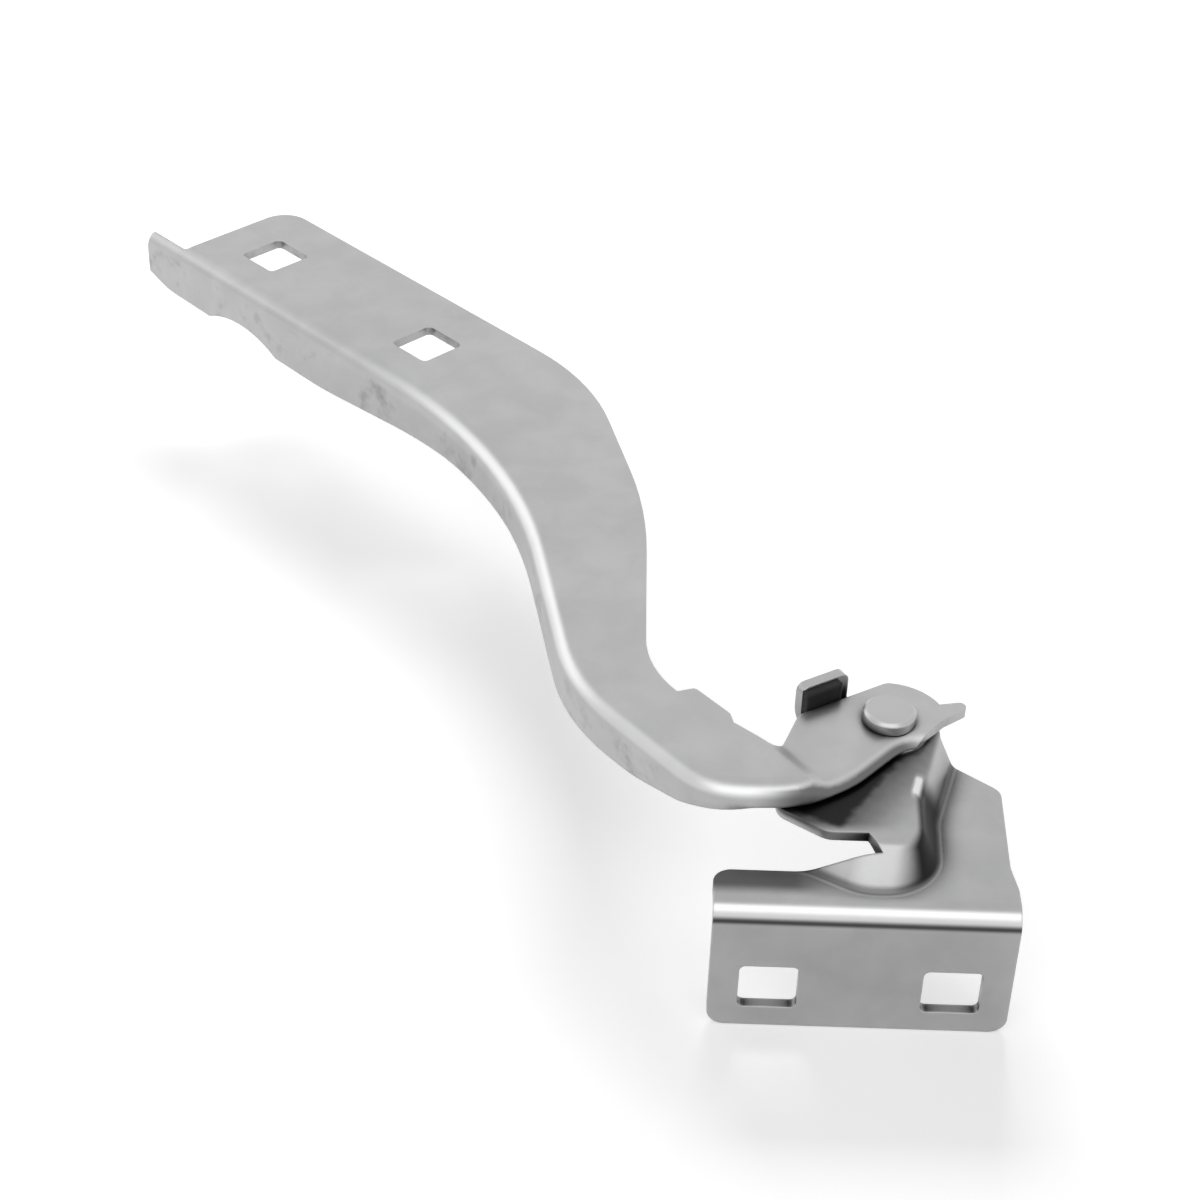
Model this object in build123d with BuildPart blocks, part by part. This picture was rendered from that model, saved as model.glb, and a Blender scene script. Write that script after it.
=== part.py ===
from build123d import *

import os
from math import atan2, cos, degrees, radians, sin, sqrt

# Bonnet hinge for one side of a car: a pressed gooseneck arm that turns on a riveted pivot.
# The origin is midway between the two body bolts, on the face of the foot that meets the body.
# X runs along the foot, Y leads away from the body, Z follows the pivot axis to the rivet head.
# The hinge stands fully open, with the arm just off the buffer of its stop.

# Both pressings
sheet = 2.5
bend_radius = 5.0
seat_gap = 0.3

# Foot of the bracket, with its body bolt holes
foot_width = 66.0
foot_height = 34.0
foot_below_holes = 11.5
foot_corner_radius = 4.0
body_hole_pitch = 40.0
body_hole_width = 13.0
body_hole_height = 12.0
hole_corner_radius = 1.5

# Web of the bracket, seen from above
strip_depth = 12.6
strip_corner_radius = 4.0
web_right = 31.9
web_flare_start = 9.0
web_flare_end = 16.0
web_back_corner = (32.6, 41.7)
web_back_angle = 139.0
web_back_distance = 8.0
web_flare_radius = 8.0
web_corner_radius = 4.0
notch_width = 4.4
notch_end = 3.3
notch_shoulder = 0.4

# Raised ear, seen from above, with the wall that joins it to the web
ear_raise = 8.0
ear_far = (-60.0, 66.0)
ear_right_base = ((27.0, ear_far[1]), (16.8, 30.0), (15.6, 5.9))
ear_front_base = ((-1.5, 5.9), (-13.5, 12.8))
ear_right_top = ((21.6, ear_far[1]), (12.9, 31.0), (12.3, 14.4))
ear_front_top = ((1.5, 14.4), (-11.5, 22.4))
ear_base_radius = 13.0
ear_top_corner_radius = 6.5
ear_turn_radius = 12.0
ear_top_radius = 4.0
ear_root_radius = 2.0
ear_lobe_front = -8.6
ear_lobe_left = (-19.3, 24.5)
ear_lobe_back = 30.0
ear_side_left = (-18.0, 44.0)
ear_lobe_radius = 5.0
ear_boss_radius = 12.3

# Pivot: rivet, bush and washers
pivot_x = 7.0
pivot_y = 52.0
shank_diameter = 8.0
shank_fit = 0.05
bush_wall = 1.0
rivet_head_diameter = 12.2
rivet_head_height = 3.0
rivet_head_chamfer = 0.7
rivet_head_play = 0.1
rivet_tail_diameter = 12.0
rivet_tail_height = 2.6
rivet_tail_chamfer = 1.2
washer_thickness = 1.0
thrust_washer_diameter = 18.0
tail_washer_diameter = 14.0
tail_washer_thickness = 1.2

# Stop tab and its buffer
tab_width = 12.8
tab_height = 8.0
tab_along = -8.0
tab_corner_radius = 2.0
tab_bend_radius = 4.0
buffer_thickness = 2.4
buffer_height = 5.9
buffer_width = 9.6
buffer_along = -9.6
buffer_edge_radius = 0.6
buffer_lift = 1.6

# Gooseneck arm. Every edge line is a direction and a distance from the pivot axis, positive where
# the pivot is on the line's right; the third figure is the radius of the bend to the next line.
arm_width = 40.4
arm_inner_distance = 49.7
arm_end = 282.0
arm_end_radius = 8.0
top_direction = -45.0
inner_edges = (
    (top_direction, arm_inner_distance, 75.0),
    (-76.0, -34.4, 150.0),
    (-90.0, -55.2, 30.0),
    (-37.5, -25.75, 2.0),
    (70.3, 19.45, 3.0),
)
outer_edges = (
    (top_direction, arm_inner_distance - arm_width, 150.0),
    (-79.5, -71.3, 60.8),
    (-50.0, -51.7, 19.3),
    (0.0, -29.2, 32.0),
    (48.8, -8.0, 12.0),
)
fold_exit = (5.0, -7.8, 0.0)
trim_margin = 1.0
lip_end_radius = 1.5
stop_edge = (31.7, 11.3)
nose_under = (35.6, -6.7)
nose_tip = (22.3, 8.2)
nose_tip_radius = 1.4
nose_root_angle = 27.0
pad_radius = 13.5
pad_corner_radius = 3.0

# Flange of the arm and the hook past its end
hook_length = 16.0
hook_width = 2.7
hook_radius = 1.0
hook_root_radius = 1.5
flange_lower = 11.4
flange_heights = (
    (232.0, 6.0), (211.0, 15.5), (160.0, 17.0), (118.0, 12.5), (84.0, 11.0), (0.0, flange_lower),
)
flange_radii = (0.0, 12.0, 60.0, 60.0, 60.0, 60.0)
flange_fade_start = 75.0
flange_fade = ((-58.0, flange_lower), (-44.0, 6.8), (-31.0, 4.5))
flange_fade_radii = (20.0, 20.0, 20.0)
flange_relief_from_end = 28.0
flange_relief_crown = 12.4
flange_relief_radius = 33.5

# Joggle of the pivot pad
joggle_depth = 2.0
joggle_direction = 38.0
joggle_start = -30.5
joggle_end = -25.5
joggle_radius = 8.0

# Bonnet bolt holes and the bump tab on the inner edge
bonnet_hole_size = 14.0
bonnet_hole_pitch = 67.8
bonnet_hole_from_end = 20.4
bonnet_hole_from_edge = 20.7
bump_tab = ((-49.2, 4.9), (-43.9, 6.7), (-36.1, -2.2), (-35.5, -4.9))
bump_root_depth = 4.0
bump_radius = 1.2

# Levels
web_top = foot_height - foot_below_holes
ear_top = web_top + ear_raise
pad_bottom = ear_top + washer_thickness
pad_top = pad_bottom + sheet
arm_top = pad_top + joggle_depth
foot_bottom = -foot_below_holes
clear_of_part = 100.0
clear_of_pad = 40.0
edge_tolerance = 0.05

os.makedirs("parts", exist_ok=True)


def line_normal(direction):
    """Unit vector to the left of a direction."""
    return Vector(-sin(radians(direction)), cos(radians(direction)))


def line_along(direction):
    """Unit vector of a direction."""
    return Vector(cos(radians(direction)), sin(radians(direction)))


def corner(first, second):
    """Point where two edge lines meet, seen from the pivot axis."""
    (direction_1, distance_1), (direction_2, distance_2) = first[:2], second[:2]
    turn = sin(radians(direction_2 - direction_1))
    across = line_along(direction_2) * distance_1 - line_along(direction_1) * distance_2
    return Vector(across.X / turn, across.Y / turn)


def corners(edges):
    """Corners between each edge line and the next."""
    return [corner(first, second) for first, second in zip(edges, edges[1:])]


def outer_rows(inset):
    """Outer edge lines moved inwards, with the radii that keep their bends concentric."""
    rows = []
    fold_edges = outer_edges + (fold_exit,)
    for (direction, distance, radius), following in zip(fold_edges, fold_edges[1:] + (fold_exit,)):
        towards_arm = 1 if following[0] < direction else -1
        rows.append((direction, distance + inset, radius + towards_arm * inset))
    return rows


def ear_mound(base_level, top_level, shift):
    """Flat-topped mound of the ear between two levels, moved inwards from the outer skin."""
    loops = (
        (ear_right_base + ear_front_base, base_level, ear_base_radius),
        (ear_right_top + ear_front_top, top_level, ear_top_corner_radius),
    )
    with BuildPart() as mound:
        for points, level, radius in loops:
            far_points = ((ear_far[0], points[-1][1]), ear_far)
            radii = (0, ear_turn_radius, radius, ear_turn_radius, ear_turn_radius, 0, 0)
            with BuildSketch(Plane.XY.offset(level)):
                with BuildLine():
                    FilletPolyline(*points, *far_points, radius=radii, close=True)
                make_face()
                if shift:
                    offset(amount=-shift, kind=Kind.INTERSECTION)
        loft(ruled=True)
    return mound.part


def bracket_skin(inset, edge_radius, top_radius, root_radius):
    """Everything under one skin of the bracket, moved inwards by the inset."""
    level = web_top - inset
    with BuildPart() as skin:
        with BuildSketch(Plane.YZ):
            with Locations((inset, level)):
                Rectangle(clear_of_part, clear_of_part, align=(Align.MIN, Align.MAX))
        extrude(amount=clear_of_part, both=True)
        fillet(skin.edges().filter_by(Axis.X).group_by(Axis.Y)[0].sort_by(Axis.Z)[-1], edge_radius)
        add(ear_mound(level, ear_top - inset, inset / 2))
        fillet(skin.edges().group_by(Axis.Z)[-1], top_radius)
        level_edges = skin.edges().filter_by_position(Axis.Z, level, level)
        root_edges = level_edges.filter_by(lambda edge: -web_side < (edge @ 0.5).X < web_side)
        fillet(root_edges.filter_by(lambda edge: bend_radius < (edge @ 0.5).Y < pivot_y), root_radius)
    return skin.part


def beside_stop(distance, along):
    """Point at a distance from the pivot across the stop edge, and along it."""
    return pivot + line_normal(stop_edge[0]) * distance + line_along(stop_edge[0]) * along


pivot = Vector(pivot_x, pivot_y)
web_side = foot_width / 2
notch_back = strip_depth + notch_width
bush_diameter = shank_diameter + 2 * (shank_fit + bush_wall)
tab_inner_face = stop_edge[1] + seat_gap + buffer_thickness
tab_outer_face = tab_inner_face + sheet
ear_fold = tab_inner_face - (tab_bend_radius - sheet)
stop_plane = Plane(
    origin=(pivot_x, pivot_y, ear_top),
    x_dir=line_normal(stop_edge[0]),
    z_dir=line_along(stop_edge[0]),
)

# Plan outline of the bracket's pressing
with BuildSketch() as blank:
    with BuildLine():
        FilletPolyline(
            (-web_side, 0),
            (-web_side, strip_depth),
            (notch_end, strip_depth),
            (notch_shoulder, notch_back),
            (notch_shoulder, ear_lobe_back),
            (ear_lobe_left[0], ear_lobe_back),
            ear_side_left,
            beside_stop(ear_fold, tab_along - tab_width / 2),
            beside_stop(ear_fold, 0),
            pivot + line_normal(web_back_angle) * -web_back_distance,
            web_back_corner,
            (web_right, web_flare_end),
            (web_side, web_flare_start),
            (web_side, 0),
            radius=(
                strip_corner_radius, 0, 0, 0, 0, 0, 0, 0, 0, web_corner_radius, web_flare_radius, web_flare_radius,
            ),
        )
        Line((web_side, 0), (-web_side, 0))
    make_face()
    with Locations(pivot):
        Circle(ear_boss_radius)

# Lobe of the ear beyond the notch, at the ear's level
with BuildSketch(Plane.XY.offset(ear_top)) as lobe:
    with BuildLine():
        FilletPolyline(
            (notch_end, ear_lobe_back + sheet),
            (notch_end, notch_back),
            (ear_lobe_front, notch_back),
            ear_lobe_left,
            (ear_lobe_left[0], ear_lobe_back + sheet),
            radius=(0, ear_lobe_radius, ear_lobe_radius),
        )
        Line((ear_lobe_left[0], ear_lobe_back + sheet), (notch_end, ear_lobe_back + sheet))
    make_face()

# Stop tab, folded up from the ear: an L of sheet seen along the fold
with BuildPart() as stop_tab:
    with BuildSketch(stop_plane.offset(tab_along)):
        with BuildLine():
            tab_line = FilletPolyline(
                (ear_fold - tab_bend_radius, -sheet),
                (tab_outer_face, -sheet),
                (tab_outer_face, tab_height),
                radius=(tab_bend_radius,),
            )
            inner_line = FilletPolyline(
                (ear_fold - tab_bend_radius, 0),
                (tab_inner_face, 0),
                (tab_inner_face, tab_height),
                radius=(tab_bend_radius - sheet,),
            )
            Line(tab_line @ 0, inner_line @ 0)
            Line(tab_line @ 1, inner_line @ 1)
        make_face()
    extrude(amount=tab_width / 2, both=True)
    fillet(stop_tab.edges().group_by(Axis.Z)[-1].group_by(SortBy.LENGTH)[0], tab_corner_radius)

with BuildPart() as base_bracket:
    add(bracket_skin(0, bend_radius, ear_top_radius, ear_root_radius))
    add(
        bracket_skin(sheet, bend_radius - sheet, ear_top_radius - sheet, ear_root_radius + sheet),
        mode=Mode.SUBTRACT,
    )
    extrude(blank.sketch, amount=clear_of_part, both=True, mode=Mode.INTERSECT)
    with BuildSketch(Plane.XZ):
        with Locations((0, foot_bottom)):
            Rectangle(foot_width, clear_of_part, align=(Align.CENTER, Align.MIN))
        with GridLocations(body_hole_pitch, 0, 2, 1):
            RectangleRounded(body_hole_width, body_hole_height, hole_corner_radius, mode=Mode.SUBTRACT)
    extrude(amount=-clear_of_part, mode=Mode.INTERSECT)
    foot_corners = base_bracket.edges().filter_by(Axis.Y).group_by(Axis.Z)[0]
    fillet(foot_corners, foot_corner_radius)
    extrude(lobe.sketch, amount=-sheet)
    add(stop_tab.part)
    with Locations((pivot_x, pivot_y, ear_top)):
        Hole(shank_diameter / 2, depth=2 * sheet)

# Arm: plan outline of the web, inner edge line, pad, nose and the flanged outer edge
end_direction = top_direction + 90.0
end_line = (end_direction, arm_end)
hook_end = (end_direction, arm_end + hook_length)
end_hole_along = arm_end - bonnet_hole_from_end
hole_line = arm_inner_distance - bonnet_hole_from_edge
hook_line = (top_direction, outer_edges[0][1] + hook_width)
trim_rows = outer_rows(-trim_margin)[:-1]
hook_corner = corner(trim_rows[0], hook_end)
stop_run = sqrt(pad_radius**2 - stop_edge[1] ** 2)
pad_start = line_normal(stop_edge[0]) * stop_edge[1] + line_along(stop_edge[0]) * stop_run
pad_start_angle = stop_edge[0] + degrees(atan2(stop_edge[1], stop_run))
arm_plane = Plane(origin=(pivot_x, pivot_y, 0))

with BuildSketch(arm_plane) as arm_blank:
    with BuildLine():
        FilletPolyline(
            hook_corner,
            corner(hook_line, hook_end),
            corner(hook_line, end_line),
            corner(end_line, inner_edges[0]),
            *corners(inner_edges + (stop_edge,)),
            pad_start,
            radius=(hook_radius, hook_root_radius, arm_end_radius, *[edge[2] for edge in inner_edges]),
        )
        pad_arc = CenterArc((0, 0), pad_radius, pad_start_angle, nose_root_angle - pad_start_angle)
        FilletPolyline(
            pad_arc @ 1,
            nose_tip,
            corner(nose_under, trim_rows[-1]),
            *reversed(corners(trim_rows)),
            hook_corner,
            radius=(nose_tip_radius, lip_end_radius, *[row[2] for row in reversed(trim_rows[:-1])]),
        )
    make_face()
    fillet(arm_blank.vertices().sort_by_distance(pivot + pad_start)[0], pad_corner_radius)


def joggled(level):
    """What stands above the arm's web surface once the pivot pad is set down."""
    step_plane = Plane(
        origin=(pivot_x, pivot_y, level),
        x_dir=line_along(joggle_direction),
        z_dir=-line_normal(joggle_direction),
    )
    with BuildPart() as above:
        with BuildSketch(step_plane):
            with BuildLine():
                step = FilletPolyline(
                    (joggle_start - clear_of_pad, 0),
                    (joggle_start, 0),
                    (joggle_end, -joggle_depth),
                    (clear_of_pad, -joggle_depth),
                    radius=(joggle_radius, joggle_radius),
                )
                Polyline(step @ 1, (clear_of_pad, clear_of_pad), (joggle_start - clear_of_pad, clear_of_pad), step @ 0)
            make_face()
        extrude(amount=clear_of_pad, both=True)
    return above.part


def arm_skin(inset, edge_radius):
    """Everything under one skin of the arm, moved inwards from the flange and down from the web."""
    rows = outer_rows(inset)
    level = arm_top - inset
    far_end = (end_direction, arm_end + clear_of_part)
    with BuildLine() as flange_line:
        FilletPolyline(
            line_normal(rows[-1][0]) * rows[-1][1] + line_along(rows[-1][0]) * clear_of_pad,
            *reversed(corners(rows)),
            corner(rows[0], far_end),
            radius=[row[2] for row in reversed(rows[:-1])],
        )
    flange_wire = flange_line.wire().moved(arm_plane.location)
    with BuildPart() as skin:
        with BuildSketch(arm_plane.offset(level)):
            with BuildLine():
                add(flange_line.line)
                Polyline(flange_line.wire() @ 1, (clear_of_part, arm_end + clear_of_part), flange_line.wire() @ 0)
            make_face()
        extrude(amount=-arm_top)
        add(joggled(level), mode=Mode.SUBTRACT)
        top_edges = skin.edges().filter_by(
            lambda edge: (edge @ 0.5).Z > level - joggle_depth - edge_tolerance
            and flange_wire.distance_to(Vertex((edge @ 0.5).X, (edge @ 0.5).Y, 0)) < edge_tolerance
        )
        fillet(top_edges, edge_radius)
    return skin.part


def under_flange(plane, run, radii, start, end):
    """Sketch of what lies below the flange's lower edge, from positions along the plane and heights."""
    points = [(along, arm_top - height) for along, height in run]
    with BuildSketch(plane) as under:
        with BuildLine():
            lower_edge = FilletPolyline((start, points[0][1]), *points, (end, points[-1][1]), radius=radii)
            Polyline(lower_edge @ 1, (end, -clear_of_part), (start, -clear_of_part), lower_edge @ 0)
        make_face()
    return under.sketch


# Plane of the flange's outer face along the bonnet, its X running out along the arm
flange_direction = -line_along(top_direction)
flange_face = Plane(
    origin=pivot + line_normal(top_direction) * outer_edges[0][1],
    x_dir=flange_direction,
    z_dir=line_normal(top_direction),
)
side_plane = Plane(origin=(pivot_x - flange_fade_start, pivot_y, 0), x_dir=(0, 1, 0), z_dir=(1, 0, 0))
front_plane = Plane(origin=(pivot_x, pivot_y, 0), x_dir=(1, 0, 0), z_dir=(0, -1, 0))

with BuildPart() as hinge_arm:
    add(arm_skin(0, bend_radius))
    add(arm_skin(sheet, bend_radius - sheet), mode=Mode.SUBTRACT)
    extrude(arm_blank.sketch, amount=clear_of_part, both=True, mode=Mode.INTERSECT)
    # Lower edge of the flange: its long run seen from the side, its fade seen from the front
    side_cut = under_flange(side_plane, flange_heights, flange_radii, arm_end, -clear_of_part)
    extrude(side_cut, amount=-arm_end, mode=Mode.SUBTRACT)
    front_cut = under_flange(front_plane, flange_fade, flange_fade_radii, -flange_fade_start, clear_of_part)
    extrude(front_cut, amount=clear_of_part, both=True, mode=Mode.SUBTRACT)
    with BuildSketch(flange_face):
        with Locations((arm_end - flange_relief_from_end, arm_top - flange_relief_crown - flange_relief_radius)):
            Circle(flange_relief_radius)
    extrude(amount=2 * sheet, both=True, mode=Mode.SUBTRACT)
    # Bump tab on the inner edge
    with BuildSketch(arm_plane.offset(arm_top - sheet)):
        into_web = line_normal(inner_edges[3][0]) * -bump_root_depth
        bump_ends = (Vector(*bump_tab[0]) + into_web, Vector(*bump_tab[-1]) + into_web)
        with BuildLine():
            bump_edge = FilletPolyline(
                bump_ends[0], *bump_tab, bump_ends[1], radius=(0, bump_radius, bump_radius, 0)
            )
            Line(bump_edge @ 1, bump_edge @ 0)
        make_face()
    extrude(amount=sheet)
    # Square holes for the bonnet bolts and the bore for the bush
    with BuildSketch(arm_plane.offset(arm_top)):
        for along in (end_hole_along, end_hole_along - bonnet_hole_pitch):
            with Locations(flange_direction * along + line_normal(top_direction) * hole_line):
                RectangleRounded(bonnet_hole_size, bonnet_hole_size, hole_corner_radius, rotation=top_direction)
    extrude(amount=-2 * sheet, mode=Mode.SUBTRACT)
    with Locations((pivot_x, pivot_y, pad_top)):
        Hole(bush_diameter / 2, depth=2 * sheet)

# Rivet, turned about the pivot axis: head, shank and peened tail
pivot_plane = Plane(origin=(pivot_x, pivot_y, 0), x_dir=(1, 0, 0), z_dir=(0, -1, 0))
head_seat = pad_top + rivet_head_play
head_top = head_seat + rivet_head_height
tail_seat = ear_top - sheet - tail_washer_thickness
tail_tip = tail_seat - rivet_tail_height
shank_radius = shank_diameter / 2
head_radius = rivet_head_diameter / 2
tail_radius = rivet_tail_diameter / 2
with BuildPart() as pivot_rivet:
    with BuildSketch(pivot_plane):
        with BuildLine():
            Polyline(
                (0, head_top),
                (head_radius - rivet_head_chamfer, head_top),
                (head_radius, head_top - rivet_head_chamfer),
                (head_radius, head_seat),
                (shank_radius, head_seat),
                (shank_radius, tail_seat),
                (tail_radius, tail_seat),
                (tail_radius, tail_tip + rivet_tail_chamfer),
                (tail_radius - rivet_tail_chamfer, tail_tip),
                (0, tail_tip),
                close=True,
            )
        make_face()
    revolve(axis=Axis((pivot_x, pivot_y, 0), (0, 0, 1)))

# Bush pressed into the arm, and the washers on either side of the ear
with BuildPart() as pivot_bush:
    with BuildSketch(arm_plane.offset(pad_bottom)):
        Circle(bush_diameter / 2)
        Circle(shank_radius + shank_fit, mode=Mode.SUBTRACT)
    extrude(amount=sheet)

with BuildPart() as thrust_washer:
    with BuildSketch(arm_plane.offset(ear_top)):
        Circle(thrust_washer_diameter / 2)
        Circle(shank_radius, mode=Mode.SUBTRACT)
    extrude(amount=washer_thickness)

with BuildPart() as tail_washer:
    with BuildSketch(arm_plane.offset(ear_top - sheet)):
        Circle(tail_washer_diameter / 2)
        Circle(shank_radius, mode=Mode.SUBTRACT)
    extrude(amount=-tail_washer_thickness)

# Buffer on the inner face of the stop tab
with BuildPart() as stop_buffer:
    with BuildSketch(stop_plane.offset(buffer_along)):
        with Locations((tab_inner_face, buffer_lift)):
            Rectangle(buffer_thickness, buffer_height, align=(Align.MAX, Align.MIN))
    extrude(amount=buffer_width / 2, both=True)
    stop_side = stop_buffer.faces().sort_by(Axis(pivot, line_normal(stop_edge[0])))[0]
    fillet(stop_side.edges(), buffer_edge_radius)

pieces = {
    "base_bracket": base_bracket,
    "hinge_arm": hinge_arm,
    "pivot_rivet": pivot_rivet,
    "pivot_bush": pivot_bush,
    "thrust_washer": thrust_washer,
    "tail_washer": tail_washer,
    "stop_buffer": stop_buffer,
}
for name, piece in pieces.items():
    piece.part.label = name
    export_step(piece.part, "parts/" + name + ".step")
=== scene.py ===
import bpy
from collections import namedtuple
from math import radians
from mathutils import Matrix, Vector


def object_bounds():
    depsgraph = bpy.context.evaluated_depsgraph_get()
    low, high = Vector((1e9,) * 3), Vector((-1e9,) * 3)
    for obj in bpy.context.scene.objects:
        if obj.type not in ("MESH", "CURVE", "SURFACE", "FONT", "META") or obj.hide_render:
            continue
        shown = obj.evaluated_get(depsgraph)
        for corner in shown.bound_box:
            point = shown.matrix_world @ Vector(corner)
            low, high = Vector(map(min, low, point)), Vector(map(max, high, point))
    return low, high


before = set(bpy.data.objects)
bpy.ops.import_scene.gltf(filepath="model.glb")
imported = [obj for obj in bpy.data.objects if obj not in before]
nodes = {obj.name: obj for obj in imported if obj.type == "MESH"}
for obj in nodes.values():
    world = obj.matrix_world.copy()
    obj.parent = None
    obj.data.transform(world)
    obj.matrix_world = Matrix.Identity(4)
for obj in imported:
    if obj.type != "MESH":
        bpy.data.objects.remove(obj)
cad_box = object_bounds()
bpy.ops.object.select_all(action="DESELECT")


# Building finishes. Lengths are metres, and a span is a pair of values that a smooth step runs between.

class Socket:
    """A shader socket that takes part in sums, differences and products."""

    def __init__(self, tree, link):
        self.tree = tree
        self.link = link

    def math(self, operation, *values):
        return self.tree.node("ShaderNodeMath", {"operation": operation}, values)

    def __add__(self, other):
        return self.math("ADD", self, other)

    def __radd__(self, other):
        return self.math("ADD", other, self)

    def __sub__(self, other):
        return self.math("SUBTRACT", self, other)

    def __rsub__(self, other):
        return self.math("SUBTRACT", other, self)

    def __mul__(self, other):
        return self.math("MULTIPLY", self, other)

    def __rmul__(self, other):
        return self.math("MULTIPLY", other, self)

    def larger(self, other):
        return self.math("MAXIMUM", self, other)


class Finish:
    """A material or world under construction."""

    def __init__(self, holder):
        holder.use_nodes = True
        self.nodes = holder.node_tree.nodes
        self.links = holder.node_tree.links
        self.nodes.clear()

    def node(self, kind, settings=None, inputs=(), output=0):
        """Adds a node with its settings, and the values or links of its sockets, in order or by name."""
        made = self.nodes.new(kind)
        for name, value in (settings or {}).items():
            setattr(made, name, value)
        named = inputs.items() if isinstance(inputs, dict) else enumerate(inputs)
        for name, value in named:
            if isinstance(value, Socket):
                self.links.new(value.link, made.inputs[name])
            else:
                made.inputs[name].default_value = value
        return Socket(self, made.outputs[output]) if len(made.outputs) else None

    def place(self):
        """Where a point lies on the hinge."""
        return self.node("ShaderNodeTexCoord", output="Object")

    def noise(self, place, scale, detail=2.0, roughness=0.5, distortion=0.0):
        """Soft noise with a number of features per metre."""
        values = {"Scale": scale, "Detail": detail, "Roughness": roughness, "Distortion": distortion}
        return self.node("ShaderNodeTexNoise", {}, {"Vector": place, **values})

    def blend(self, share, first, second):
        """Colour that goes from first to second as the share goes from 0 to 1."""
        share_socket, first_socket, second_socket, mixed_colour = 0, 6, 7, 2
        values = {share_socket: share, first_socket: first, second_socket: second}
        return self.node("ShaderNodeMix", {"data_type": "RGBA"}, values, mixed_colour)

    def fade(self, value, span):
        """Smooth step from 0 at the span's first number to 1 at its second, and held beyond both."""
        values = (value, *span, 0.0, 1.0)
        return self.node("ShaderNodeMapRange", {"interpolation_type": "SMOOTHSTEP"}, values)

    def parts(self, vector):
        """The three numbers of a vector."""
        split = self.node("ShaderNodeSeparateXYZ", {}, (vector,))
        return [Socket(self, output) for output in split.link.node.outputs]

    def surface(self, values):
        """Ends a material with a principled shader."""
        shader = self.node("ShaderNodeBsdfPrincipled", {}, values)
        self.node("ShaderNodeOutputMaterial", {}, {"Surface": shader})


def new_finish(name):
    material = bpy.data.materials.new(name)
    return material, Finish(material)


def rgb(red, green, blue):
    """Colour with its alpha, from linear values."""
    return (red, green, blue, 1.0)


def beside_line(x, y, start, end):
    """Distance to the left of the line from start to end, seen from above."""
    run = (end[0] - start[0], end[1] - start[1])
    length = (run[0] ** 2 + run[1] ** 2) ** 0.5
    offset = (run[1] * start[0] - run[0] * start[1]) / length
    return y * (run[0] / length) - x * (run[1] / length) + offset


# Painted shade and painted highlights on the two pressings, and scuffs on the arm. Each gives how unshaded
# and unscuffed the plating is, and how far it is lightened towards bare zinc as a painted highlight.

def arm_painted_light_and_scuffs(make, place, normal):
    """Painted shade on the lip's face near the pivot, scuffs on the flange, and a painted highlight along
    the bend.
    """
    x, y, z = make.parts(place)
    along, upright = make.parts(normal)[1:]

    # Painted shade: the lip near the pivot is darkened where its face turns down and forward.
    lip_across, lip_along, under_lip = (-0.026, -0.014), (0.048, 0.044), (0.0355, 0.0345)
    turned_down, turned_forward = (0.93, 0.72), (0.0, -0.25)
    lip_shade_depth = 0.76
    lip = make.fade(x, lip_across) * make.fade(y, lip_along) * make.fade(z, under_lip)
    lip_shade = lip * make.fade(upright, turned_down) * make.fade(along, turned_forward)

    scuff_noise = (90.0, 4.0, 0.65)
    scuffed, on_flange = (0.5, 0.75), (0.5, 0.1)
    scuff_depth = 0.35
    scuffs = make.fade(make.noise(place, *scuff_noise), scuffed) * make.fade(upright, on_flange)

    # Painted highlight: the bend from web to flange is lightened, fading out towards the bonnet end.
    off_web, off_flange, off_bonnet_end = (0.96, 0.84), (0.4, 0.6), (0.215, 0.165)
    highlight_strength = 0.5
    bend_highlight = make.fade(upright, off_web) * make.fade(upright, off_flange) * make.fade(y, off_bonnet_end)

    return (1.0 - lip_shade * lip_shade_depth) * (1.0 - scuffs * scuff_depth), bend_highlight * highlight_strength


def ear_painted_shadow(make, place):
    """How unshaded the ear's top is: a painted shadow of the arm lies in front of the arm's lip, and a
    lighter painted shade spreads around it.
    """
    x, y, z = make.parts(place)
    front_edge = ((-0.0195, 0.0262), (-0.0062, 0.0190))
    right_edge = ((-0.0055, 0.0195), (0.0070, 0.0395))
    back_edge = ((-0.0195, 0.0268), (0.0056, 0.0401))
    wobble_noise, wobble_width = (320.0, 2.0, 0.5), 0.002
    above_wall, below_tab = (0.0285, 0.0300), (0.0315, 0.0308)
    shadow_back, shadow_front, shadow_right = (0.006, 0.001), (-0.0016, 0.0008), (-0.0016, 0.0006)
    half_shade_back, half_shade_right, half_shade_start = (0.012, 0.002), (-0.016, 0.002), (0.0155, 0.0205)
    half_shade_depth = 0.82

    wobble = (make.noise(place, *wobble_noise) - 0.5) * wobble_width
    on_ear = make.fade(z, above_wall) * make.fade(z, below_tab)
    from_front = beside_line(x, y, *front_edge) + wobble
    from_right = beside_line(x, y, *right_edge) + wobble
    behind = beside_line(x, y, *back_edge) + wobble

    arm_shadow = make.fade(behind, shadow_back) * make.fade(from_front, shadow_front)
    arm_shadow = arm_shadow * make.fade(from_right, shadow_right) * on_ear
    half_shade = make.fade(behind, half_shade_back) * make.fade(from_right, half_shade_right)
    half_shade = half_shade * make.fade(y, half_shade_start) * on_ear
    return (1.0 - arm_shadow) * (1.0 - half_shade * half_shade_depth)


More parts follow.
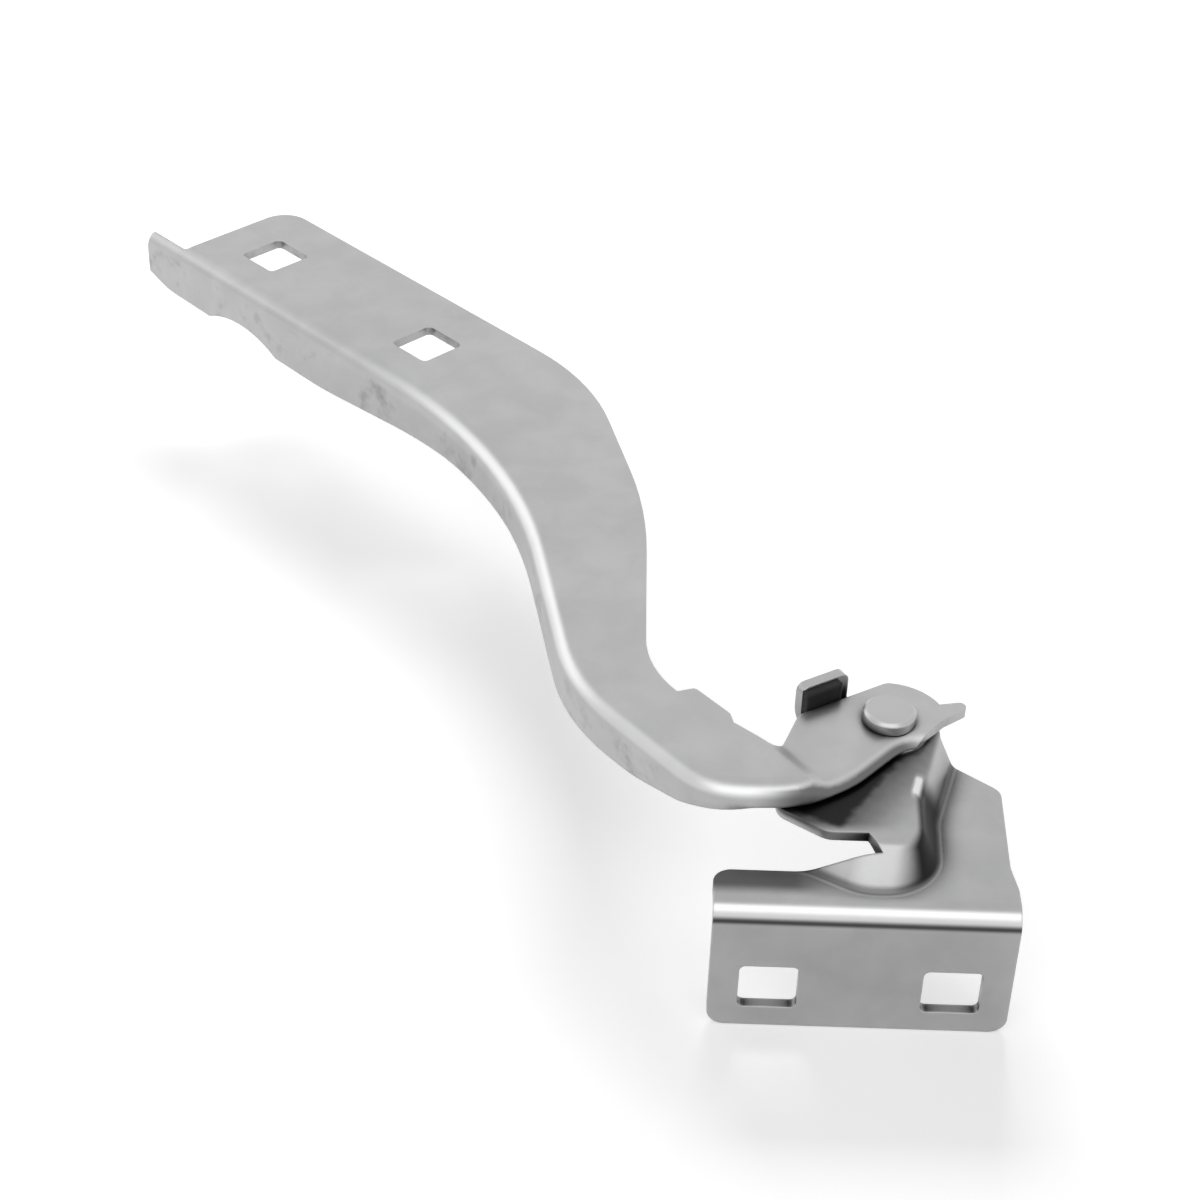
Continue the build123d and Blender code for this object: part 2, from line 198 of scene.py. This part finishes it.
def bracket_painted_light(make, place, normal):
    """Painted shadow of the arm on the ear, painted shade on the ear's right wall, at its root and on the
    web in the lee of the arm, a painted dark reflection on the foot's bend, and painted highlights on the
    ear's crest and on that bend.
    """
    x, y, z = make.parts(place)
    across, along, upright = make.parts(normal)

    # Painted shade on the ear's wall that faces right.
    facing_right, left_of_web, front_of_pivot = (0.2, 0.62), (0.027, 0.024), (0.0385, 0.0315)
    above_web = (0.0222, 0.0232)
    wall_shade = make.fade(across, facing_right) * make.fade(x, left_of_web) * make.fade(y, front_of_pivot)
    wall_shade = wall_shade * make.fade(z, above_web)

    # Painted shade along the root where the ear's wall leaves the web.
    leaving_web, under_wall, on_web = (0.9998, 0.985), (0.0242, 0.0232), (0.0225, 0.0227)
    root_shade_depth = 0.6
    root_shade = make.fade(upright, leaving_web) * make.fade(z, under_wall) * make.fade(z, on_web)

    # Painted shadow of the arm on the web in front of the ear.
    under_arm, behind_bend, low_down = (-0.005, -0.016), (0.0045, 0.0085), (0.0268, 0.0236)
    web_shadow_depth = 0.75
    web_shadow = make.fade(x, under_arm) * make.fade(y, behind_bend) * make.fade(z, low_down)

    # Painted dark reflection along the lower part of the bend above the foot.
    off_foot, off_bend, facing_front = (0.05, 0.26), (0.5, 0.3), (-0.8, -0.9)
    near_foot = (0.0055, 0.0045)
    dark_reflection_depth = 0.88
    on_foot = make.fade(y, near_foot)
    dark_reflection = make.fade(upright, off_foot) * make.fade(upright, off_bend) * make.fade(along, facing_front)

    # Painted highlight on the top of the ear's right crest.
    off_top, off_wall, near_ear = (0.0, 0.18), (0.7, 0.4), (0.0262, 0.0275)
    behind_front, before_back = (0.0285, 0.0315), (0.0385, 0.0355)
    crest_highlight = make.fade(across, off_top) * make.fade(across, off_wall) * make.fade(z, near_ear)
    crest_highlight = crest_highlight * make.fade(y, behind_front) * make.fade(y, before_back)

    # Painted highlight along the bend above the foot.
    off_web, off_front = (0.93, 0.8), (0.35, 0.55)
    highlight_strength = 0.65
    bend_highlight = make.fade(upright, off_web) * make.fade(upright, off_front) * on_foot

    # All the painted shadow and shade darken the colour; the crest's painted highlight lifts it back out.
    clear_of_shade_and_grime = ear_painted_shadow(make, place) * (1.0 - wall_shade) * (1.0 - root_shade * root_shade_depth)
    clear_of_shade_and_grime = clear_of_shade_and_grime * (1.0 - web_shadow * web_shadow_depth) * (1.0 - dark_reflection * on_foot * dark_reflection_depth)
    return clear_of_shade_and_grime.larger(crest_highlight), crest_highlight + bend_highlight * highlight_strength


# Finishes of the pieces

# Dark colour that painted shade in corners, gaps and under the arm runs to, and that scuffs run to; light
# colour for worn edges and painted highlights.
grime_and_shade = rgb(0.012, 0.012, 0.012)
bare_zinc_and_highlight = rgb(0.78, 0.78, 0.79)

# Painted shade in corners and gaps: against the piece itself or any piece, how far off, and how open a spot
# is when it is fully shaded and when it is unshaded.
Corners = namedtuple("Corners", "own reach closed open_sky")


def zinc_plate(name, dull, bright, mottle, corners, painted_light_and_stains=None, roughness=0.33):
    """Zinc plating: cloudy patches, a fine grain, painted shade in corners and gaps, worn rounded edges, and
    the painted shade, painted highlights and scuffs of the given marks.
    """
    cloud_noise, patch_noise, grain_noise = (90.0, 3.0, 0.55, 0.4), (26.0, 2.0, 0.5, 0.8), (1400.0, 2.0, 0.6)
    cloud_span, patch_span = (0.32, 0.68), (0.3, 0.7)
    cloud_share, grain_contrast = 0.6, 0.12
    edge_width, edge_span, edge_wear = 0.0006, (0.995, 0.9), 0.35
    cloud_roughness, grain_roughness = 0.06, 0.04
    grain_relief, cloud_relief = 0.35, 0.5
    bump_strength, bump_depth = 0.08, 0.0002
    metallic = 0.85

    material, make = new_finish(name)
    place = make.place()
    clouds = make.noise(place, *cloud_noise)
    patches = make.noise(place, *patch_noise)
    grain = make.noise(place, *grain_noise)
    tone = make.fade(clouds, cloud_span) * (cloud_share * mottle)
    tone = tone + make.fade(patches, patch_span) * ((1.0 - cloud_share) * mottle)

    round_edge = make.node("ShaderNodeBevel", {"samples": 4}, {"Radius": edge_width})
    normal = make.node("ShaderNodeNewGeometry", output="Normal")
    both_ways = (round_edge, normal)
    facing = make.node("ShaderNodeVectorMath", {"operation": "DOT_PRODUCT"}, both_ways, "Value")
    wear_and_highlight = make.fade(facing, edge_span) * edge_wear
    # Painted shade: ambient occlusion darkens the colour in corners, in gaps and under other pieces.
    nearby = {"samples": 12, "only_local": corners.own}
    openness = make.node("ShaderNodeAmbientOcclusion", nearby, {"Distance": corners.reach}, "AO")
    clear_of_shade_and_grime = make.fade(openness, (corners.closed, corners.open_sky))
    # The given marks add painted shade, painted highlights and scuffs.
    if painted_light_and_stains:
        unshaded_and_unscuffed, painted_highlight = painted_light_and_stains(make, place, normal)
        clear_of_shade_and_grime = clear_of_shade_and_grime * unshaded_and_unscuffed
        wear_and_highlight = wear_and_highlight.larger(painted_highlight)

    plating = make.blend(tone + grain * grain_contrast - grain_contrast / 2, dull, bright)
    worn_and_highlit = make.blend(wear_and_highlight, plating, bare_zinc_and_highlight)
    height = grain * grain_relief + clouds * cloud_relief
    relief = {"Strength": bump_strength, "Distance": bump_depth, "Height": height, "Normal": round_edge}
    # The colour darkens to the dark grime colour under painted shade and scuffs, and lightens to bare zinc
    # on worn edges and painted highlights.
    make.surface({
        "Base Color": make.blend(clear_of_shade_and_grime, grime_and_shade, worn_and_highlit),
        "Metallic": metallic,
        "Roughness": roughness + (clouds - 0.5) * cloud_roughness + (grain - 0.5) * grain_roughness,
        "Normal": make.node("ShaderNodeBump", {}, relief),
    })
    return material


def black_rubber(name):
    """Moulded rubber: nearly black, with a faint bloom and a fine pebble."""
    bloom_noise, bloom_span, bloom_share = (160.0, 3.0, 0.6), (0.4, 0.75), 0.5
    pebble_noise, pebble_strength, pebble_depth = (2600.0, 1.0, 0.5), 0.25, 0.0001
    roughness, pebble_roughness, gloss = 0.62, 0.2, 0.3

    material, make = new_finish(name)
    place = make.place()
    bloom = make.fade(make.noise(place, *bloom_noise), bloom_span)
    pebble = make.noise(place, *pebble_noise)
    relief = {"Strength": pebble_strength, "Distance": pebble_depth, "Height": pebble}
    make.surface({
        "Base Color": make.blend(bloom * bloom_share, rgb(0.006, 0.006, 0.006), rgb(0.02, 0.02, 0.021)),
        "Roughness": roughness + (pebble - 0.5) * pebble_roughness,
        "Normal": make.node("ShaderNodeBump", {}, relief),
        "Specular IOR Level": gloss,
    })
    return material


def turned_bronze(name):
    """Plain bearing bronze with a fine uneven grain."""
    grain_noise, grain_strength, grain_depth = (1200.0, 2.0, 0.5), 0.1, 0.0001
    roughness, grain_roughness = 0.32, 0.15

    material, make = new_finish(name)
    grain = make.noise(make.place(), *grain_noise)
    relief = {"Strength": grain_strength, "Distance": grain_depth, "Height": grain}
    make.surface({
        "Base Color": make.blend(grain, rgb(0.34, 0.21, 0.09), rgb(0.5, 0.34, 0.16)),
        "Metallic": 1.0,
        "Roughness": roughness + grain * grain_roughness,
        "Normal": make.node("ShaderNodeBump", {}, relief),
    })
    return material


def dress(finish, *pieces):
    """Gives CAD nodes their finish."""
    for piece in pieces:
        slots = nodes[piece].data.materials
        slots.clear()
        slots.append(finish)


dress(
    zinc_plate(
        "arm_zinc", rgb(0.44, 0.44, 0.442), rgb(0.50, 0.50, 0.502), mottle=1.0, painted_light_and_stains=arm_painted_light_and_scuffs,
        corners=Corners(own=False, reach=0.022, closed=0.4, open_sky=0.88),
    ),
    "hinge_arm",
)
dress(
    zinc_plate(
        "bracket_zinc", rgb(0.40, 0.40, 0.402), rgb(0.46, 0.46, 0.462), mottle=1.0, painted_light_and_stains=bracket_painted_light,
        corners=Corners(own=True, reach=0.007, closed=0.76, open_sky=0.99),
    ),
    "base_bracket",
)
dress(
    zinc_plate(
        "rivet_zinc", rgb(0.46, 0.46, 0.46), rgb(0.52, 0.52, 0.52), mottle=0.6,
        corners=Corners(own=False, reach=0.004, closed=0.45, open_sky=0.95),
    ),
    "pivot_rivet",
)
dress(
    zinc_plate(
        "washer_zinc", rgb(0.40, 0.40, 0.40), rgb(0.46, 0.46, 0.46), mottle=0.5, roughness=0.34,
        corners=Corners(own=False, reach=0.006, closed=0.4, open_sky=0.95),
    ),
    "thrust_washer", "tail_washer",
)
dress(turned_bronze("bush_bronze"), "pivot_bush")
dress(black_rubber("buffer_rubber"), "stop_buffer")


# Studio: a pale floor, a white world, three soft lamps and the camera

white = rgb(1, 1, 1)


def seen_directly(make):
    """1 for camera, mirror and glass rays, and 0 for the rays that light the hinge."""
    rays = make.node("ShaderNodeLightPath").link.node.outputs
    seen = ("Is Camera Ray", "Is Glossy Ray", "Is Transmission Ray")
    camera_ray, glossy_ray, glass_ray = (Socket(make, rays[name]) for name in seen)
    return camera_ray.larger(glossy_ray).larger(glass_ray)


def pale_floor():
    """Paper that reads as white: it glows a little by the hinge, and more where its far edge would show."""
    fibre_noise = (40.0, 3.0, 0.6)
    far_span, near_glow = (0.45, 1.3), 0.4

    material, make = new_finish("floor_paper")
    place = make.place()
    fibre = make.noise(place, *fibre_noise)
    tone = make.blend(fibre, rgb(0.8, 0.8, 0.8), rgb(0.82, 0.82, 0.82))
    paper = make.node("ShaderNodeBsdfDiffuse", {}, {"Color": tone})
    from_middle = make.node("ShaderNodeVectorMath", {"operation": "LENGTH"}, (place,), "Value")
    glow = make.fade(from_middle, far_span) * (1.0 - near_glow) + near_glow
    light = make.node("ShaderNodeEmission", {}, {"Color": white, "Strength": seen_directly(make) * glow})
    both = make.node("ShaderNodeAddShader", {}, (paper, light))
    make.node("ShaderNodeOutputMaterial", {}, {"Surface": both})
    return material


floor_width, floor_gap = 6.0, 0.0002
bpy.ops.mesh.primitive_plane_add(size=floor_width, location=(0, 0, cad_box[0][2] - floor_gap))
floor = bpy.context.object
floor.name = "floor"
floor.data.materials.append(pale_floor())

sky_light = 0.34
world = bpy.data.worlds.new("studio")
bpy.context.scene.world = world
air = Finish(world)
brightness = seen_directly(air) * (1.0 - sky_light) + sky_light
sky = air.node("ShaderNodeBackground", {}, {"Color": white, "Strength": brightness})
air.node("ShaderNodeOutputWorld", {}, {"Surface": sky})

hinge_middle = Vector((-0.06, 0.12, 0.02))


def soft_lamp(name, place, width, height, watts, glossy=True):
    """Large soft lamp at a place, turned towards the hinge."""
    bpy.ops.object.light_add(type="AREA", location=place)
    lamp = bpy.context.object
    lamp.name = name
    lamp.data.shape = "RECTANGLE"
    lamp.data.size = width
    lamp.data.size_y = height
    lamp.data.energy = watts
    lamp.rotation_euler = (hinge_middle - lamp.location).to_track_quat("-Z", "Y").to_euler()
    lamp.visible_glossy = glossy


soft_lamp("back_lamp", (-0.1, 1.25, 0.95), width=0.7, height=0.4, watts=12.0, glossy=False)
soft_lamp("front_lamp", (-0.06, -0.64, 1.07), width=1.4, height=0.8, watts=3.6)
soft_lamp("left_lamp", (-1.0, 0.81, 0.47), width=0.9, height=0.6, watts=1.4)

camera_place = (-0.0593, -0.3914, 0.3869)
camera_tilt, camera_roll = radians(54.0), radians(1.9)
camera_lens, camera_sensor = 75.0, 36.0
nearest_seen, farthest_seen = 0.01, 20.0

bpy.ops.object.camera_add()
camera = bpy.context.object
camera.name = "camera"
camera.matrix_world = (
    Matrix.Translation(camera_place)
    @ Matrix.Rotation(camera_tilt, 4, "X")
    @ Matrix.Rotation(camera_roll, 4, "Z")
)
camera.data.lens = camera_lens
camera.data.sensor_width = camera_sensor
camera.data.clip_start = nearest_seen
camera.data.clip_end = farthest_seen
bpy.context.scene.camera = camera
bpy.context.scene.view_settings.view_transform = "Standard"
